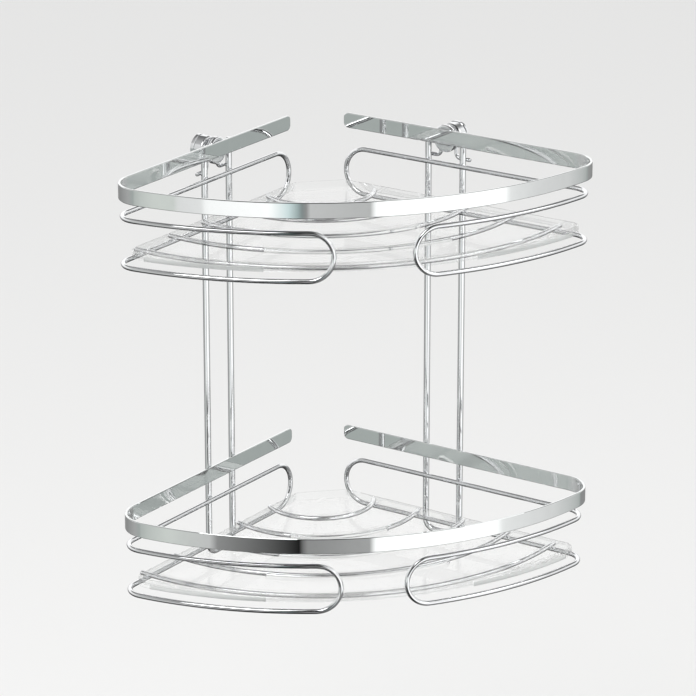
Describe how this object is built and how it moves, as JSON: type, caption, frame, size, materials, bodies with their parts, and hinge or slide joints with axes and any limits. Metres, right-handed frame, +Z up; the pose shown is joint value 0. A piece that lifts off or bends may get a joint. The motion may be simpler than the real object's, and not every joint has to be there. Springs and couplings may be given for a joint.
{
  "type": "shower caddy",
  "caption": "Corner shower caddy: chromed wire baskets with bowed flat rails and clear lift-out trays, hung on wall fixings.",
  "frame": {"origin": "midpoint between the two wall fixings, on the height of their axes and on the plane of symmetry", "axes": "+Z up; +Y into the corner of the room; +X to the right as seen from inside the room; each wall runs at 45 degrees to X and Y"},
  "size_m": [0.3572, 0.2481, 0.3392],
  "materials": {
    "chrome": "bright chrome plating on steel",
    "zinc_plated_steel": "dull zinc plating",
    "clear_plastic": "clear glossy moulded plastic"
  },
  "bodies": {
    "wall_fixings": {"left_wall_base": "chrome", "left_wall_screw": "zinc_plated_steel", "left_knob": "chrome", "right_wall_base": "chrome", "right_wall_screw": "zinc_plated_steel", "right_knob": "chrome"},
    "frame": {"left_hanger": "chrome", "left_hook": "chrome", "right_hanger": "chrome", "right_hook": "chrome", "upper_rail": "chrome", "upper_left_loop": "chrome", "upper_right_loop": "chrome", "upper_support_1": "chrome", "upper_support_2": "chrome", "upper_support_3": "chrome", "upper_support_4": "chrome", "upper_support_5": "chrome", "lower_rail": "chrome", "lower_left_loop": "chrome", "lower_right_loop": "chrome", "lower_support_1": "chrome", "lower_support_2": "chrome", "lower_support_3": "chrome", "lower_support_4": "chrome", "lower_support_5": "chrome"},
    "upper_tray": {"upper_tray": "clear_plastic"},
    "lower_tray": {"lower_tray": "clear_plastic"}
  },
  "joints": [
    {"name": "frame_lift", "type": "slide", "parent": "wall_fixings", "child": "frame", "axis": [0, 0, 1], "range_m": [0, 0.025]},
    {"name": "upper_tray_lift", "type": "slide", "parent": "frame", "child": "upper_tray", "axis": [0, 0, 1], "range_m": [0, 0.08]},
    {"name": "lower_tray_lift", "type": "slide", "parent": "frame", "child": "lower_tray", "axis": [0, 0, 1], "range_m": [0, 0.08]}
  ]
}
